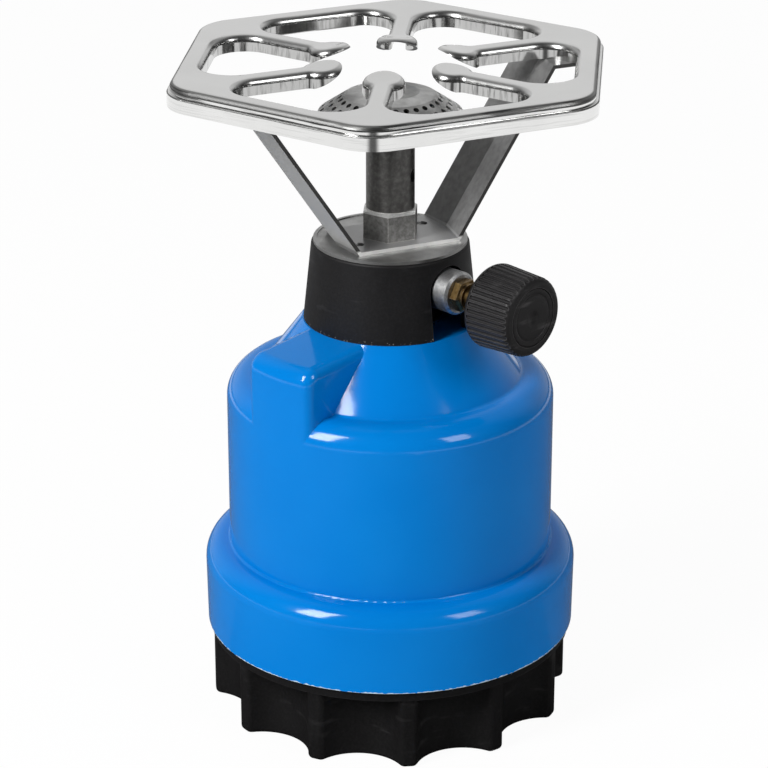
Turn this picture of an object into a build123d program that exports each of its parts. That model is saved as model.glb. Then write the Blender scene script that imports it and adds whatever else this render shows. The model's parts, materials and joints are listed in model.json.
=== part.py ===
from build123d import *
import os
from math import atan2, cos, hypot, radians, sin

# Portable gas stove on a pierceable cartridge. Millimetres, +Z up, origin on the ground
# under the middle of the base, valve knob along +X.

# Gas cartridge
cartridge_radius = 45.0
cartridge_height = 95.0
cartridge_sheet = 0.8
cartridge_dome_height = 17.0
cartridge_dome_round = 8.0
cartridge_crown_radius = 14.0
cartridge_crown_height = 3.0
cartridge_seam_gap = 0.05
cartridge_seam_width = 4.0
cartridge_bottom_rise = 5.0
pierced_hole_radius = 1.4

# Base cap
base_height = 25.8
base_floor = 4.0
cup_clearance = 0.4
cup_wall = 1.6
ridge_count = 12
ridge_height = 7.5
ridge_round = 1.9
ridge_angle = 20.0
flute_radius = 14.4
foot_round = 1.4
foot_recess_radius = 36.0
foot_recess_depth = 1.2
flange_height = 3.0
flange_lip = 0.6
spigot_inset = 1.5
spigot_wall = 2.6
spigot_height = 17.0

# Coarse thread between base and housing
thread_pitch = 4.0
thread_gap = 1.3
thread_lead_in = 2.4
rib_height = 0.95
rib_root = 1.5
rib_tip = 0.9
rib_sink = 0.4
housing_rib_turns = 1.1
base_rib_turns = 2.2

# Blue housing
housing_wall = 1.8
band_height = 26.2
band_draft = 0.4
band_round = 6.5
band_crease = 0.8
chamber_clearance = 2.2
shoulder_headroom = 6.5
shoulder_round = 7.0
shoulder_width = 9.5
shoulder_crease = 1.5
cone_height = 17.6
neck_plate = 2.0
neck_margin = 0.4
lug_width = 24.4
lug_offset = 1.0
lug_round = 5.0
lug_fall = 2.0
lug_sink = 3.0
lug_edge_round = 3.2

# Neck collar
collar_foot_radius = 25.8
collar_top_radius = 23.3
collar_height = 23.7
collar_wall = 2.5
collar_roof = 3.0
collar_slot_clearance = 0.85
collar_edge_round = 0.8

# Valve body in the neck
valve_rise = 13.9
trunk_radius = 10.0
trunk_clearance = 0.2
valve_flange_radius = 17.0
valve_flange_height = 3.4
nose_radius = 9.0
boss_radius = 6.4
boss_reach = 28.4
boss_edge = 0.7
spigot_thread_radius = 5.0
spigot_thread_height = 7.0
gas_bore_radius = 1.2
cross_bore_radius = 1.0
outlet_bore_radius = 2.0
seat_x = 5.0
seat_bore_radius = 0.9
inlet_turn_x = 7.5
inlet_turn_drop = 8.0
locknut_across_flats = 27.0
locknut_height = 4.0
washer_radius = 15.0
washer_height = 0.8
thread_clearance = 0.05

# Needle and seal on the nose of the valve body
seal_height = 2.0
seal_bore_radius = 4.0
needle_radius = 0.9
needle_bore_radius = 0.4
needle_reach = 5.0
needle_point = 2.0
needle_root_radius = 1.6
needle_root_height = 6.0
press_clearance = 0.02

# Valve stem, gland and seals
stem_radius = 3.0
stem_point_radius = 0.5
stem_tip_radius = 2.2
stem_cone_length = 2.0
stem_tip_length = 4.0
stem_seat_gap = 0.3
stem_fit = 0.05
ring_section_radius = 0.65
ring_fit = 0.05
ring_side_gap = 0.1
ring_groove_depth = 0.8
gland_depth = 9.4
gland_radius = 4.1
packing_length = 1.9
gland_across_flats = 8.6
gland_hex_length = 3.0
gland_neck_radius = 3.9
gland_neck_length = 0.8
gland_chamfer = 0.5

# Knob
knob_gap = 11.7
knob_length = 16.2
knob_back_radius = 12.5
knob_face_radius = 11.7
knob_back_round = 2.0
knob_face_round = 1.8
knob_groove_count = 40
knob_groove_radius = 0.62
knob_groove_depth = 0.55
knob_groove_overrun = 2.0
knob_groove_setback = 1.8
knob_cap_radius = 8.6
knob_cap_height = 1.2
knob_cap_gap = 0.15
knob_dimple_radius = 0.9
knob_dimple_depth = 0.4
knob_hub_radius = 5.6
knob_hub_setback = 1.0
knob_skirt_wall = 2.6
knob_web = 7.0
knob_screw_radius = 1.5
knob_screw_head_radius = 2.8
knob_screw_head_height = 1.6
knob_screw_head_gap = 0.3
knob_screw_length = 6.0

# Dish and bracket
dish_radius = 22.74
dish_sheet = 0.6
dish_rim_height = 0.3
dish_rim_wall = 1.0
bracket_sheet = 1.1
bracket_width = 23.0
rear_bend_reach = 16.5
front_bend_reach = 14.5
arm_rise = 48.5
arm_top_reach = 47.0
arm_crease = 1.5
arm_overrun = 6.0
arm_tab_length = 8.0
support_angle = 69.0
clamp_clearance = 0.2
peg_radius = 1.1
peg_height = 0.5
peg_hole_radius = 1.7
peg_distance = 13.4

# Burner
hex_across_flats = 15.25
hex_height = 8.6
hex_angle = 9.8
hex_bevel_fall = 4.4
tube_radius = 7.15
tube_height = 28.0
tube_bore_radius = 5.6
air_hole_radius = 2.0
air_hole_rise = 10.2
air_hole_angle = 24.0
jet_flange_radius = 4.2
jet_flange_height = 2.4
jet_nozzle_radius = 3.0
jet_nozzle_height = 5.0
jet_nozzle_bevel = 1.0
jet_orifice_radius = 0.3
jet_step = 1.5
jet_clearance = 0.1
filter_height = 1.0
filter_radius = 2.2
filter_clearance = 0.05
burner_radius = 21.2
burner_fit = 0.1
burner_cup_sheet = 0.9
burner_cup_height = 7.0
burner_cup_wall_height = 2.0
burner_cup_floor_radius = 10.0
burner_collar_height = 3.0
burner_sheet = 0.8
burner_skirt_height = 2.6
burner_edge_round = 1.0
burner_cone_rise = 5.2
burner_flat_radius = 13.4
burner_crown_radius = 8.5
burner_crown_rise = 0.9
burner_dimple = 0.6
port_radius = 0.85
port_depth = 3.2
port_rows = 3
port_count = 30

# Pot support
support_apothem = 59.8
support_corner_round = 14.0
support_rim_height = 6.9
support_flange_height = 4.2
support_flange_lip = 0.8
support_sheet = 1.2
rim_round = 1.8
flange_round = 0.5
opening_inset = 6.8
finger_count = 6
finger_width = 6.4
finger_root_round = 9.0
finger_head_radius = 6.1
finger_head_reach = 21.4
finger_lift = 1.9
finger_lift_reach = 25.5
finger_neck_round = 2.5
lip_depth = 5.0
lip_round = 2.2
tip_lip_reach = 26.0

# Radii worked out from the cartridge outwards
cup_radius = cartridge_radius + cup_clearance
flute_floor_radius = cup_radius + cup_wall
ridge_radius = flute_floor_radius + ridge_height
flange_radius = ridge_radius + flange_lip
spigot_radius = ridge_radius - spigot_inset
band_bore_radius = spigot_radius + thread_gap
band_foot_radius = band_bore_radius + housing_wall
band_radius = band_foot_radius + band_draft
body_bore_radius = cartridge_radius + chamber_clearance
body_radius = body_bore_radius + housing_wall
cone_foot_radius = body_radius - shoulder_width
neck_radius = collar_foot_radius + neck_margin
trunk_hole_radius = trunk_radius + trunk_clearance
clamp_hole_radius = spigot_thread_radius + clamp_clearance
stem_hole_radius = stem_radius + stem_fit
ring_groove_radius = stem_radius - ring_groove_depth
ring_radius = ring_groove_radius + ring_fit + ring_section_radius
chamber_radius = ring_radius + ring_section_radius + ring_fit
finger_tip_reach = finger_head_reach - finger_head_radius

# Heights worked out from the ground upwards
band_top = base_height + band_height
cartridge_top = base_floor + cartridge_height
nose_bottom = cartridge_top + seal_height
shoulder_z = cartridge_top + shoulder_headroom
neck_z = shoulder_z + cone_height
neck_under = neck_z - neck_plate
valve_z = neck_z + valve_rise
collar_top = neck_z + collar_height
dish_top = collar_top + dish_sheet
plate_top = dish_top + bracket_sheet
jet_z = plate_top + spigot_thread_height
hex_top = plate_top + hex_height
tube_top = hex_top + tube_height
lip_bottom = plate_top + arm_rise
support_top = lip_bottom + lip_depth
support_bottom = support_top - support_rim_height
finger_tip_top = support_top + finger_lift

# Stations along the valve axis
gland_start = boss_reach - gland_depth
packing_end = gland_start + packing_length
gland_neck_start = boss_reach + gland_hex_length
knob_back = boss_reach + knob_gap
knob_face = knob_back + knob_length
knob_cap_start = knob_face - knob_cap_height
knob_screw_seat = knob_cap_start - knob_screw_head_height - knob_screw_head_gap
stem_start = seat_x + stem_seat_gap
ring_x = (stem_start + stem_tip_length + gland_start) / 2
stem_end = knob_face - knob_web
screw_tip = knob_screw_seat - knob_screw_length
valve_axis = Axis((0, 0, valve_z), (1, 0, 0))

os.makedirs("parts", exist_ok=True)


def save(builder, name):
    """Label a finished piece and write it to its own file."""
    builder.part.label = name
    export_step(builder.part, f"parts/{name}.step")


def turn(points, mode=Mode.ADD):
    """Turn a closed outline of (radius, height) points round the upright axis."""
    with BuildSketch(Plane.XZ) as outline:
        with BuildLine():
            Polyline(*points, close=True)
        make_face()
    revolve(outline.sketch, axis=Axis.Z, mode=mode)


def turn_on_valve(points, mode=Mode.ADD):
    """Turn a closed outline of (station, radius) points round the valve axis."""
    with BuildSketch(Plane.XZ) as outline:
        with BuildLine():
            Polyline(*[(x, valve_z + radius) for x, radius in points], close=True)
        make_face()
    revolve(outline.sketch, axis=valve_axis, mode=mode)


def valve_plane(x):
    """The plane square to the valve axis at a station."""
    return Plane(origin=(x, 0, valve_z), x_dir=(0, 1, 0), z_dir=(1, 0, 0))


def round_corner(point, radius):
    """Round the corner of the sketch in hand that lies nearest to a point."""
    fillet(vertices().sort_by_distance(point)[0], radius)


def drill_up(radius, start_z, end_z, x=0):
    """Drill an upright hole through the part in hand."""
    with BuildSketch(Plane.XY.offset(start_z)) as mouth:
        with Locations((x, 0)):
            Circle(radius)
    extrude(mouth.sketch, amount=end_z - start_z, mode=Mode.SUBTRACT)


def drill_along_valve(radius, start_x, end_x, drop=0):
    """Drill a hole along the valve axis, or that far below it, through the part in hand."""
    with BuildSketch(valve_plane(start_x)) as mouth:
        with Locations((0, -drop)):
            Circle(radius)
    extrude(mouth.sketch, amount=end_x - start_x, mode=Mode.SUBTRACT)


def helical_rib(radius, side, start_z, turns):
    """One rib of the coarse thread, standing out from a radius (side 1) or in from it (side -1)."""
    with BuildLine() as path:
        Helix(thread_pitch, turns * thread_pitch, radius, center=(0, 0, start_z))
    with BuildSketch(Plane.XZ.shift_origin((radius, 0, start_z))) as section:
        with BuildLine():
            Polyline(
                (-side * rib_sink, -rib_root / 2),
                (side * rib_height, -rib_tip / 2),
                (side * rib_height, rib_tip / 2),
                (-side * rib_sink, rib_root / 2),
                close=True,
            )
        make_face()
    sweep(section.sketch, path=path.line, is_frenet=True)


# Base cap: fluted foot, flange, threaded spigot and the cup that the cartridge stands in
flute_distance = flute_floor_radius + flute_radius
flute_angle = ridge_angle + 180 / ridge_count
with BuildPart() as base_cap:
    with BuildSketch():
        Circle(ridge_radius)
        with PolarLocations(flute_distance, ridge_count, flute_angle):
            Circle(flute_radius, mode=Mode.SUBTRACT)
        fillet(vertices(), ridge_round)
    extrude(amount=base_height - flange_height)
    fillet(faces().sort_by(Axis.Z)[0].edges(), foot_round)
    with BuildSketch(Plane.XY.offset(base_height - flange_height)):
        Circle(flange_radius)
    extrude(amount=flange_height)
    with BuildSketch(Plane.XY.offset(base_height)):
        Circle(spigot_radius)
    extrude(amount=spigot_height)
    drill_up(cup_radius, base_floor, base_height + spigot_height)
    drill_up(spigot_radius - spigot_wall, base_height, base_height + spigot_height)
    drill_up(foot_recess_radius, 0, foot_recess_depth)
    helical_rib(spigot_radius, 1, base_height + thread_lead_in + thread_pitch / 2, base_rib_turns)
save(base_cap, "base_cap")


def cartridge_outline(inset):
    """Half section of the can, moved inwards by a sheet thickness or left as it is."""
    radius = cartridge_radius - inset
    crown = cartridge_crown_radius - inset
    top = cartridge_top - inset
    dome_z = top - cartridge_crown_height
    wall_z = dome_z - cartridge_dome_height
    with BuildSketch(Plane.XZ) as outline:
        with BuildLine():
            Polyline(
                (0, base_floor),
                (radius, base_floor),
                (radius, wall_z),
                (crown, dome_z),
                (crown, top),
                (0, top),
                close=True,
            )
        make_face()
        round_corner((radius, wall_z), cartridge_dome_round - inset)
    return outline.sketch


# Cartridge: a drawn can, already pierced, with a pressed bottom in its lower rim
can_outside = cartridge_outline(0)
can_inside = cartridge_outline(cartridge_sheet)
with BuildPart() as cartridge_shell:
    revolve(can_outside, axis=Axis.Z)
    revolve(can_inside, axis=Axis.Z, mode=Mode.SUBTRACT)
    drill_up(pierced_hole_radius, cartridge_top - 2 * cartridge_sheet, cartridge_top)
save(cartridge_shell, "cartridge_shell")

seam_radius = cartridge_radius - cartridge_sheet - cartridge_seam_gap
seam_bore = seam_radius - cartridge_seam_width
with BuildPart() as cartridge_bottom:
    turn(
        [
            (0, base_floor + cartridge_bottom_rise),
            (seam_bore, base_floor),
            (seam_radius, base_floor),
            (seam_radius, base_floor + 2 * cartridge_sheet),
            (seam_bore, base_floor + cartridge_sheet),
            (0, base_floor + cartridge_bottom_rise + cartridge_sheet),
        ]
    )
save(cartridge_bottom, "cartridge_bottom")


def lug_block(inset):
    """The buttress on the housing: a strip of a drum with a rounded outer edge."""
    reach = body_radius - inset
    top = neck_z - inset
    foot = shoulder_z - shoulder_round - lug_sink
    with BuildPart() as block:
        with BuildSketch(Plane.XZ):
            with BuildLine():
                Polyline(
                    (0, foot),
                    (reach, foot),
                    (reach, top - lug_fall),
                    (neck_radius - inset, top),
                    (0, top),
                    close=True,
                )
            make_face()
            round_corner((reach, top - lug_fall), lug_round - inset)
        revolve(axis=Axis.Z)
        with BuildSketch(Plane.XY.offset(foot)):
            with Locations((lug_offset, -reach / 2)):
                Rectangle(lug_width - 2 * inset, reach)
        extrude(amount=top - foot, mode=Mode.INTERSECT)
    return block


# Buttress of the housing, with its outer and upper edges rounded
lug_shell = lug_block(0)
with lug_shell:
    lug_sides = lug_shell.faces().filter_by(Axis.X).edges()
    lug_foot = lug_sides.group_by(Axis.Z)[0]
    lug_root = lug_sides.group_by(Axis.Y)[-1]
    fillet([edge for edge in lug_sides if edge not in lug_foot + lug_root], lug_edge_round)
lug_hollow = lug_block(neck_plate)

# Housing: lacquered shell with its lower band, shoulder, cone and buttress
cone_slope = (cone_foot_radius - neck_radius) / cone_height
cone_wall = housing_wall * hypot(1, cone_slope)
shoulder_under = shoulder_z - housing_wall
band_under = band_top - housing_wall
with BuildPart() as housing:
    with BuildSketch(Plane.XZ):
        with BuildLine():
            Polyline(
                (0, base_height),
                (band_foot_radius, base_height),
                (band_radius, band_top),
                (body_radius, band_top),
                (body_radius, shoulder_z),
                (cone_foot_radius, shoulder_z),
                (neck_radius, neck_z),
                (0, neck_z),
                close=True,
            )
        make_face()
        round_corner((band_radius, band_top), band_round)
        round_corner((body_radius, band_top), band_crease)
        round_corner((body_radius, shoulder_z), shoulder_round)
        round_corner((cone_foot_radius, shoulder_z), shoulder_crease)
    revolve(axis=Axis.Z)
    add(lug_shell.part)
    with BuildSketch(Plane.XZ):
        with BuildLine():
            Polyline(
                (0, base_height),
                (band_bore_radius, base_height),
                (band_bore_radius + band_draft, band_under),
                (body_bore_radius, band_under),
                (body_bore_radius, shoulder_under),
                (cone_foot_radius + cone_slope * housing_wall - cone_wall, shoulder_under),
                (neck_radius + cone_slope * neck_plate - cone_wall, neck_under),
                (0, neck_under),
                close=True,
            )
        make_face()
        round_corner((band_bore_radius + band_draft, band_under), band_round - housing_wall)
        round_corner((body_bore_radius, shoulder_under), shoulder_round - housing_wall)
    revolve(axis=Axis.Z, mode=Mode.SUBTRACT)
    add(lug_hollow.part, mode=Mode.SUBTRACT)
    drill_up(trunk_hole_radius, neck_under, neck_z)
    helical_rib(band_bore_radius, -1, base_height + thread_lead_in, housing_rib_turns)
save(housing, "housing")

# Valve body: flange under the neck, trunk, side boss and threaded top, drilled for the gas
inlet_turn_z = valve_z - inlet_turn_drop
with BuildPart() as valve_body:
    turn(
        [
            (0, nose_bottom),
            (nose_radius, nose_bottom),
            (nose_radius, neck_under - valve_flange_height),
            (valve_flange_radius, neck_under - valve_flange_height),
            (valve_flange_radius, neck_under),
            (trunk_radius, neck_under),
            (trunk_radius, collar_top),
            (spigot_thread_radius, collar_top),
            (spigot_thread_radius, jet_z),
            (0, jet_z),
        ]
    )
    with BuildSketch(valve_plane(0)):
        Circle(boss_radius)
    extrude(amount=boss_reach)
    chamfer(faces().sort_by(Axis.X)[-1].edges(), boss_edge)
    drill_up(needle_root_radius, nose_bottom, nose_bottom + needle_root_height)
    drill_up(gas_bore_radius, nose_bottom, inlet_turn_z + gas_bore_radius)
    drill_along_valve(cross_bore_radius, 0, inlet_turn_x, inlet_turn_drop)
    drill_up(gas_bore_radius, inlet_turn_z - gas_bore_radius, valve_z, inlet_turn_x)
    drill_along_valve(seat_bore_radius, 0, seat_x)
    drill_along_valve(chamber_radius, seat_x, gland_start)
    drill_along_valve(gland_radius + thread_clearance, gland_start, boss_reach)
    drill_up(outlet_bore_radius, valve_z, jet_z)
save(valve_body, "valve_body")

# Hollow needle in the nose, and the rubber ring that seals on the cartridge
with BuildPart() as piercing_needle:
    needle_tip = cartridge_top - needle_reach
    turn(
        [
            (needle_bore_radius, needle_tip),
            (needle_radius, needle_tip + needle_point),
            (needle_radius, nose_bottom),
            (needle_root_radius - press_clearance, nose_bottom),
            (needle_root_radius - press_clearance, nose_bottom + needle_root_height),
            (needle_bore_radius, nose_bottom + needle_root_height),
        ]
    )
save(piercing_needle, "piercing_needle")

with BuildPart() as cartridge_seal:
    with BuildSketch(Plane.XY.offset(cartridge_top)):
        Circle(nose_radius)
        Circle(seal_bore_radius, mode=Mode.SUBTRACT)
    extrude(amount=seal_height)
save(cartridge_seal, "cartridge_seal")

# Nut and washer that clamp the valve body in the neck
with BuildPart() as lock_washer:
    with BuildSketch(Plane.XY.offset(neck_z)):
        Circle(washer_radius)
        Circle(trunk_hole_radius, mode=Mode.SUBTRACT)
    extrude(amount=washer_height)
save(lock_washer, "lock_washer")

with BuildPart() as valve_locknut:
    with BuildSketch(Plane.XY.offset(neck_z + washer_height)):
        RegularPolygon(locknut_across_flats / 2, 6, major_radius=False)
        Circle(trunk_radius + thread_clearance, mode=Mode.SUBTRACT)
    extrude(amount=locknut_height)
save(valve_locknut, "valve_locknut")

# Neck collar: tapered cover with a roof and a slot that the boss comes out of
collar_taper = (collar_foot_radius - collar_top_radius) / collar_height
collar_slot_radius = boss_radius + collar_slot_clearance
with BuildPart() as neck_collar:
    turn(
        [
            (collar_foot_radius - collar_wall, neck_z),
            (collar_foot_radius, neck_z),
            (collar_top_radius, collar_top),
            (trunk_hole_radius, collar_top),
            (trunk_hole_radius, collar_top - collar_roof),
            (collar_top_radius + collar_taper * collar_roof - collar_wall, collar_top - collar_roof),
        ]
    )
    collar_rims = edges().filter_by(GeomType.CIRCLE)
    fillet(collar_rims.sort_by_distance((collar_top_radius, 0, collar_top))[0], collar_edge_round)
    with BuildSketch(valve_plane(trunk_radius)):
        Circle(collar_slot_radius)
        with Locations((0, -valve_rise / 2)):
            Rectangle(2 * collar_slot_radius, valve_rise)
    extrude(amount=collar_foot_radius, mode=Mode.SUBTRACT)
save(neck_collar, "neck_collar")

# Gland nut and packing round the stem
with BuildPart() as gland_nut:
    with BuildSketch(valve_plane(boss_reach)):
        RegularPolygon(gland_across_flats / 2, 6, major_radius=False)
    extrude(amount=gland_hex_length)
    chamfer(faces().sort_by(Axis.X)[-1].edges(), gland_chamfer)
    with BuildSketch(valve_plane(gland_neck_start)):
        Circle(gland_neck_radius)
    extrude(amount=gland_neck_length)
    with BuildSketch(valve_plane(packing_end)):
        Circle(gland_radius)
    extrude(amount=boss_reach - packing_end)
    drill_along_valve(stem_hole_radius, packing_end, gland_neck_start + gland_neck_length)
save(gland_nut, "gland_nut")

with BuildPart() as stem_packing:
    with BuildSketch(valve_plane(gland_start)):
        Circle(gland_radius)
        Circle(stem_hole_radius, mode=Mode.SUBTRACT)
    extrude(amount=packing_length)
save(stem_packing, "stem_packing")

# Valve stem with its needle tip, ring groove and tapped end, and the ring in the groove
groove_half = ring_section_radius + ring_side_gap
with BuildPart() as valve_stem:
    turn_on_valve(
        [
            (stem_start, 0),
            (stem_start, stem_point_radius),
            (stem_start + stem_cone_length, stem_tip_radius),
            (stem_start + stem_tip_length, stem_tip_radius),
            (stem_start + stem_tip_length, stem_radius),
            (ring_x - groove_half, stem_radius),
            (ring_x - groove_half, ring_groove_radius),
            (ring_x + groove_half, ring_groove_radius),
            (ring_x + groove_half, stem_radius),
            (stem_end, stem_radius),
            (stem_end, 0),
        ]
    )
    drill_along_valve(knob_screw_radius + thread_clearance, screw_tip - knob_screw_radius, stem_end)
save(valve_stem, "valve_stem")

with BuildPart(valve_plane(ring_x)) as stem_o_ring:
    Torus(ring_radius, ring_section_radius)
save(stem_o_ring, "stem_o_ring")


def groove_planes():
    """One plane for each groove of the knob, where it starts and pointing along the taper."""
    start = knob_back + knob_groove_setback
    taper = (knob_back_radius - knob_face_radius) / knob_length
    radius = knob_back_radius - taper * knob_groove_setback + knob_groove_radius - knob_groove_depth
    angles = [radians(360 * index / knob_groove_count) for index in range(knob_groove_count)]
    return [
        Plane(
            origin=(start, radius * cos(angle), valve_z + radius * sin(angle)),
            z_dir=(1, -taper * cos(angle), -taper * sin(angle)),
        )
        for angle in angles
    ]


# Knob: ribbed skirt, hub on the stem, and seats for its screw and cap
with BuildPart() as valve_knob:
    with BuildSketch(Plane.XZ):
        with BuildLine():
            Polyline(
                (knob_back, valve_z),
                (knob_back, valve_z + knob_back_radius),
                (knob_face, valve_z + knob_face_radius),
                (knob_face, valve_z),
                close=True,
            )
        make_face()
        round_corner((knob_back, valve_z + knob_back_radius), knob_back_round)
        round_corner((knob_face, valve_z + knob_face_radius), knob_face_round)
    revolve(axis=valve_axis)
    with Locations(*groove_planes()):
        Cylinder(
            knob_groove_radius,
            knob_length + knob_groove_overrun,
            align=(Align.CENTER, Align.CENTER, Align.MIN),
            mode=Mode.SUBTRACT,
        )
    with BuildSketch(valve_plane(knob_back)):
        Circle(knob_face_radius - knob_skirt_wall)
        Circle(knob_hub_radius, mode=Mode.SUBTRACT)
    extrude(amount=stem_end - knob_back, mode=Mode.SUBTRACT)
    drill_along_valve(knob_hub_radius, knob_back, knob_back + knob_hub_setback)
    drill_along_valve(stem_hole_radius, knob_back, stem_end)
    drill_along_valve(knob_screw_radius + thread_clearance, stem_end, knob_screw_seat)
    drill_along_valve(knob_screw_head_radius + knob_screw_head_gap, knob_screw_seat, knob_face)
    drill_along_valve(knob_cap_radius + knob_cap_gap, knob_cap_start, knob_face)
save(valve_knob, "valve_knob")

with BuildPart() as knob_screw:
    with BuildSketch(valve_plane(screw_tip)):
        Circle(knob_screw_radius)
    extrude(amount=knob_screw_length)
    with BuildSketch(valve_plane(knob_screw_seat)):
        Circle(knob_screw_head_radius)
    extrude(amount=knob_screw_head_height)
save(knob_screw, "knob_screw")

with BuildPart() as knob_cap:
    with BuildSketch(valve_plane(knob_cap_start)):
        Circle(knob_cap_radius)
    extrude(amount=knob_cap_height)
    drill_along_valve(knob_dimple_radius, knob_face - knob_dimple_depth, knob_face)
save(knob_cap, "knob_cap")

# Plated dish on the collar, with the two pegs that keep the bracket from turning
with BuildPart() as top_dish:
    rim_top = dish_top + dish_rim_height
    turn(
        [
            (clamp_hole_radius, collar_top),
            (dish_radius, collar_top),
            (dish_radius, rim_top),
            (dish_radius - dish_rim_wall, rim_top),
            (dish_radius - dish_rim_wall, dish_top),
            (clamp_hole_radius, dish_top),
        ]
    )
save(top_dish, "top_dish")

with BuildPart() as locating_pegs:
    with BuildSketch(Plane.XY.offset(dish_top)):
        with PolarLocations(peg_distance, 2, 90):
            Circle(peg_radius)
    extrude(amount=peg_height)
save(locating_pegs, "locating_pegs")

half_width = bracket_width / 2


def bracket_arm(bend_reach):
    """A creased arm of the bracket from its bend on the dish up to its tab under the plate."""
    lean = atan2(arm_top_reach - bend_reach, arm_rise)
    arm_length = arm_rise / cos(lean)
    arm_foot = (bend_reach - arm_overrun * sin(lean), 0, plate_top - arm_overrun * cos(lean))
    with BuildPart() as arm:
        with BuildSketch(Plane(origin=arm_foot, x_dir=(0, 1, 0), z_dir=(sin(lean), 0, cos(lean)))):
            with BuildLine():
                Polyline(
                    (-half_width, 0),
                    (0, -arm_crease),
                    (half_width, 0),
                    (half_width, -bracket_sheet),
                    (0, -arm_crease - bracket_sheet),
                    (-half_width, -bracket_sheet),
                    close=True,
                )
            make_face()
        extrude(amount=arm_length + 2 * arm_overrun)
        with BuildSketch(Plane.XY.offset(dish_top)):
            Rectangle(2 * (arm_top_reach + arm_overrun), bracket_width)
        extrude(amount=lip_bottom - dish_top, mode=Mode.INTERSECT)
        with BuildSketch(Plane.XY.offset(lip_bottom - bracket_sheet)):
            with BuildLine():
                Polyline(
                    (arm_top_reach, -half_width),
                    (arm_top_reach + arm_tab_length, -half_width),
                    (arm_top_reach + arm_tab_length, half_width),
                    (arm_top_reach, half_width),
                    (arm_top_reach + arm_crease / cos(lean), 0),
                    close=True,
                )
            make_face()
        extrude(amount=bracket_sheet)
    return arm.part


# Support bracket: a strip bent up into two creased arms, each with a tab under the plate
with BuildPart() as bracket_blank:
    with BuildSketch(Plane.XY.offset(dish_top)):
        with BuildLine():
            Polyline(
                (-front_bend_reach, -half_width),
                (rear_bend_reach, -half_width),
                (rear_bend_reach + arm_crease, 0),
                (rear_bend_reach, half_width),
                (-front_bend_reach, half_width),
                (-front_bend_reach - arm_crease, 0),
                close=True,
            )
        make_face()
        Circle(clamp_hole_radius, mode=Mode.SUBTRACT)
        with PolarLocations(peg_distance, 2, 90 - support_angle):
            Circle(peg_hole_radius, mode=Mode.SUBTRACT)
    extrude(amount=bracket_sheet)
    add(bracket_arm(rear_bend_reach))
    mirror(bracket_arm(front_bend_reach), about=Plane.YZ)

with BuildPart() as support_bracket:
    add(bracket_blank.part.rotate(Axis.Z, support_angle))
save(support_bracket, "support_bracket")

# Burner tube: hexagon foot, mixing tube and two air holes
air_turn = radians(air_hole_angle)
with BuildPart() as burner_tube:
    with BuildSketch(Plane.XY.offset(plate_top)):
        RegularPolygon(hex_across_flats / 2, 6, major_radius=False, rotation=hex_angle)
    extrude(amount=hex_height)
    turn(
        [
            (0, plate_top),
            (hex_across_flats, plate_top),
            (hex_across_flats, hex_top - hex_bevel_fall),
            (hex_across_flats / 2, hex_top),
            (0, hex_top),
        ],
        mode=Mode.INTERSECT,
    )
    with BuildSketch(Plane.XY.offset(hex_top)):
        Circle(tube_radius)
    extrude(amount=tube_height)
    drill_up(spigot_thread_radius + thread_clearance, plate_top, jet_z)
    drill_up(jet_flange_radius + jet_clearance, jet_z, jet_z + jet_flange_height)
    drill_up(jet_nozzle_radius + jet_clearance, jet_z, jet_z + jet_flange_height + jet_step)
    drill_up(tube_bore_radius, jet_z + jet_flange_height + jet_step, tube_top)
    air_plane = Plane(origin=(0, 0, hex_top + air_hole_rise), z_dir=(cos(air_turn), sin(air_turn), 0))
    with BuildSketch(air_plane):
        Circle(air_hole_radius)
    extrude(amount=2 * tube_radius, both=True, mode=Mode.SUBTRACT)
save(burner_tube, "burner_tube")

# Jet in the foot of the tube, with its filter
jet_shoulder = jet_z + jet_flange_height
jet_top = jet_shoulder + jet_nozzle_height
with BuildPart() as gas_jet:
    turn(
        [
            (filter_radius + filter_clearance, jet_z),
            (jet_flange_radius, jet_z),
            (jet_flange_radius, jet_shoulder),
            (jet_nozzle_radius, jet_shoulder),
            (jet_nozzle_radius, jet_top - jet_nozzle_bevel),
            (jet_nozzle_radius - jet_nozzle_bevel, jet_top),
            (jet_orifice_radius, jet_top),
            (jet_orifice_radius, jet_z + filter_height),
            (filter_radius + filter_clearance, jet_z + filter_height),
        ]
    )
save(gas_jet, "gas_jet")

with BuildPart() as jet_filter:
    with BuildSketch(Plane.XY.offset(jet_z)):
        Circle(filter_radius)
    extrude(amount=filter_height)
save(jet_filter, "jet_filter")

# Burner head: a pressed cup on the tube and a perforated cap over its rim
cup_bore = tube_radius + thread_clearance
cup_rim = burner_radius - burner_sheet - burner_fit
cup_foot = tube_top - burner_cup_height
cup_wall_z = tube_top - burner_cup_wall_height
with BuildPart() as burner_cup:
    turn(
        [
            (cup_bore, cup_foot),
            (burner_cup_floor_radius, cup_foot),
            (cup_rim, cup_wall_z),
            (cup_rim, tube_top),
            (cup_rim - burner_cup_sheet, tube_top),
            (cup_rim - burner_cup_sheet, cup_wall_z + burner_cup_sheet / 2),
            (burner_cup_floor_radius, cup_foot + burner_cup_sheet),
            (cup_bore + burner_cup_sheet, cup_foot + burner_cup_sheet),
            (cup_bore + burner_cup_sheet, cup_foot + burner_collar_height),
            (cup_bore, cup_foot + burner_collar_height),
        ]
    )
save(burner_cup, "burner_cup")


def cap_outline(rim_radius, rim_z):
    """Half section of the burner cap: skirt, cone and dimpled crown."""
    cone_z = rim_z + burner_cone_rise
    crown_z = cone_z + burner_crown_rise
    with BuildSketch(Plane.XZ) as outline:
        with BuildLine():
            Polyline(
                (0, tube_top - burner_skirt_height),
                (rim_radius, tube_top - burner_skirt_height),
                (rim_radius, rim_z),
                (burner_flat_radius, cone_z),
                (burner_crown_radius, crown_z),
                (0, crown_z - burner_dimple),
                close=True,
            )
        make_face()
    return outline


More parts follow.
